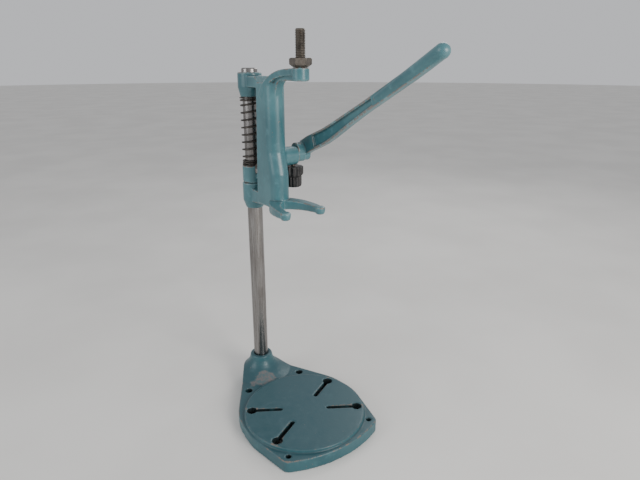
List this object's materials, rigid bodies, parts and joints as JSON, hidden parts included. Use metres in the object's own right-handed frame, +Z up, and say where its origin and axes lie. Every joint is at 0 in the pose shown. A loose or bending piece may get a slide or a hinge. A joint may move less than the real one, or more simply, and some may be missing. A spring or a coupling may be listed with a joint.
{
  "type": "drill stand",
  "caption": "Bench stand that holds a hand drill upright, with a hand lever feed and a return spring on a round column, teal cast iron",
  "frame": {"origin": "under the centre of the round work table, on the plane the base stands on; the drill's axis runs up through it", "axes": "+Z up along the column, +Y to the back where the column stands, -Y to the front where the operator stands, +X to the operator's right, the lever's side"},
  "size_m": [0.202, 0.3868, 0.604],
  "materials": {
    "teal_paint": "worn semi-gloss enamel on cast iron",
    "bright_bar": "drawn bar with light tarnish",
    "dark_steel": "oxidised, oily",
    "black_plastic": "moulded, ribbed"
  },
  "bodies": {
    "base": {"base_casting": "teal_paint", "column_set_screw": "dark_steel"},
    "post": {"column": "bright_bar"},
    "ring": {"clamp_ring": "teal_paint", "ring_clamp_bolt": "dark_steel", "ring_clamp_washer": "bright_bar", "ring_clamp_nut": "dark_steel", "link_pin": "bright_bar", "link_pin_clip_left": "dark_steel", "link_pin_clip_right": "dark_steel", "return_spring": "dark_steel", "spring_washer_lower": "dark_steel"},
    "carriage": {"carriage_casting": "teal_paint", "spring_washer_upper": "dark_steel"},
    "lever": {"lever_arm": "teal_paint", "lever_shaft": "bright_bar", "lever_roll_pin": "dark_steel", "feed_crank": "dark_steel", "crank_roll_pin": "dark_steel"},
    "stud": {"drill_clamp_stud": "dark_steel"},
    "stud_nut": {"stud_lock_nut": "dark_steel"},
    "feed_lock": {"feed_lock_screw": "dark_steel", "feed_lock_wheel": "black_plastic", "feed_lock_knob": "black_plastic"}
  },
  "joints": [
    {"name": "column_swivel", "type": "hinge", "parent": "base", "child": "post", "pos_m": [0, 0.1514, 0.03], "axis": [0, 0, 1], "range_deg": [-120, 120]},
    {"name": "head_height", "type": "slide", "parent": "post", "child": "ring", "axis": [0, 0, -1], "range_m": [0, 0.12]},
    {"name": "carriage_feed", "type": "slide", "parent": "ring", "child": "carriage", "axis": [0, 0, -1], "range_m": [0, 0.05], "stiffness_N_per_m": 1500, "springref_m": -0.05, "deforming": ["return_spring"]},
    {"name": "lever_turn", "type": "hinge", "parent": "carriage", "child": "lever", "pos_m": [0, 0.0817, 0.426], "axis": [1, 0, 0], "range_deg": [0, 69.1]},
    {"name": "stud_feed", "type": "slide", "parent": "carriage", "child": "stud", "axis": [0, 0, -1], "range_m": [0, 0.04]},
    {"name": "stud_nut_turn", "type": "hinge", "parent": "carriage", "child": "stud_nut", "pos_m": [0, 0, 0.5626], "axis": [0, 0, 1], "continuous": true},
    {"name": "feed_lock_turn", "type": "hinge", "parent": "carriage", "child": "feed_lock", "pos_m": [0.0346, 0.0817, 0.394], "axis": [0, 0, 1], "continuous": true}
  ],
  "couplings": [
    {"joint": "lever_turn", "follows": "carriage_feed", "rad_per_m": 24.12}
  ]
}
